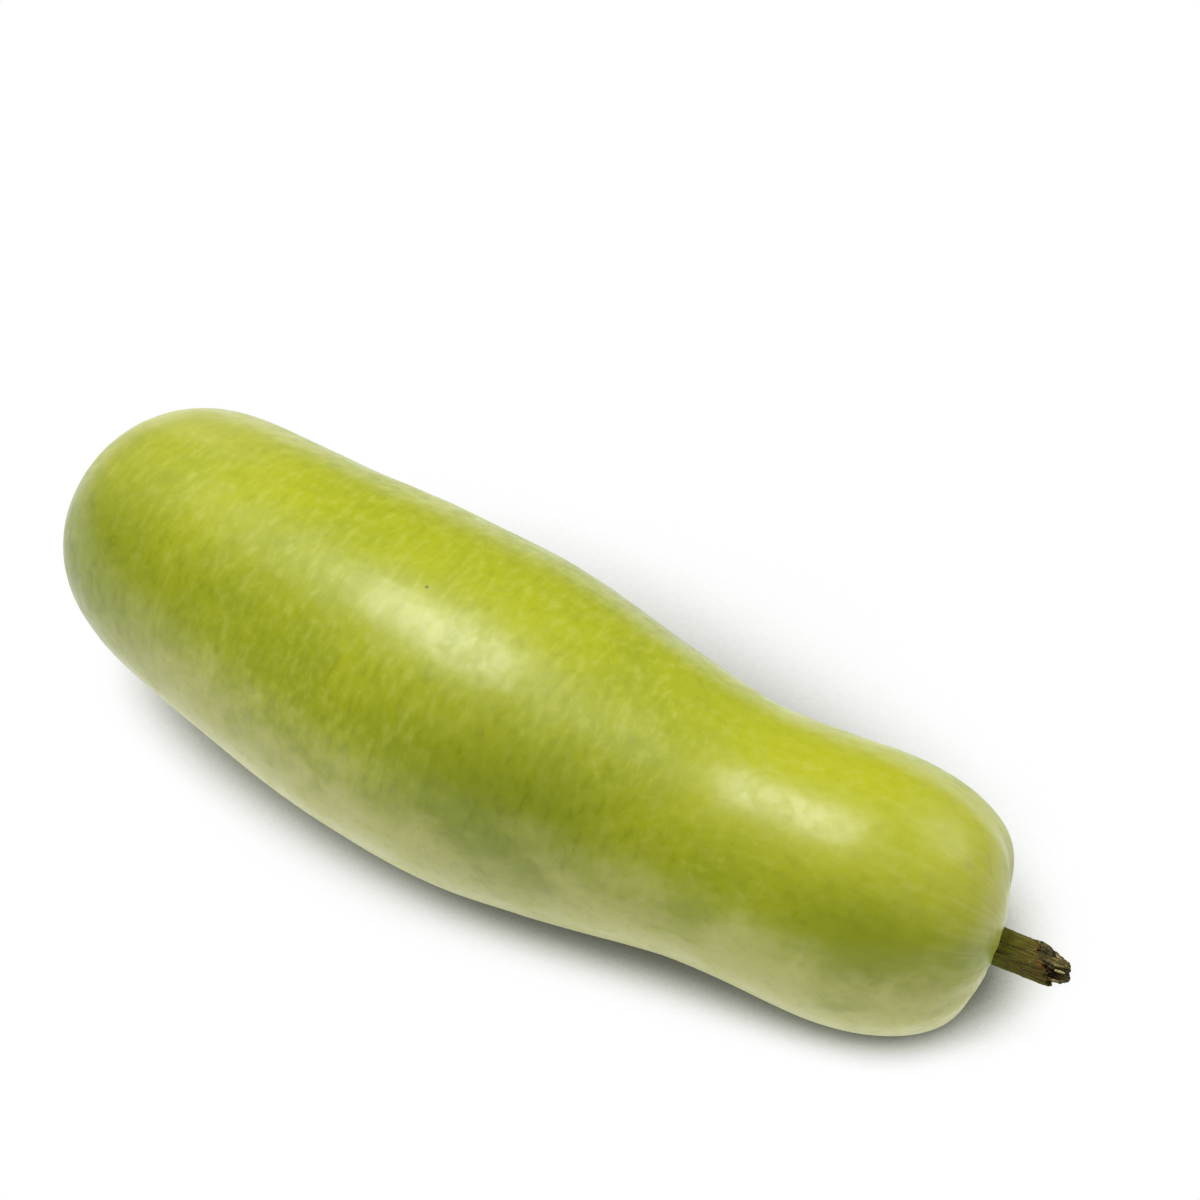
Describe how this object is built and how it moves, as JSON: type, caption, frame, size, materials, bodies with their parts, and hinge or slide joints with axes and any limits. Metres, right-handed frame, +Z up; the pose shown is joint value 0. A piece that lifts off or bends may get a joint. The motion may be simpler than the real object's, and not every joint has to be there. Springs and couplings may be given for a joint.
{
  "type": "bottle gourd",
  "caption": "Long pale green bottle gourd with rounded ends, a slight waist and a short dry stem, lying on its side.",
  "frame": {"origin": "middle of the underside of the whole gourd's box, on the surface it lies on", "axes": "+X along the fruit from the blossom end to the stem, +Z up; the middle of the fruit is bowed towards -Y"},
  "size_m": [0.3338, 0.1034, 0.1046],
  "materials": {
    "skin": "satin waxy plant skin, yellow-green with fine pale flecks",
    "stem": "dry ridged stem, olive brown, torn fibrous end"
  },
  "bodies": {
    "root": {"fruit": "skin", "stem": "stem"}
  },
  "joints": []
}
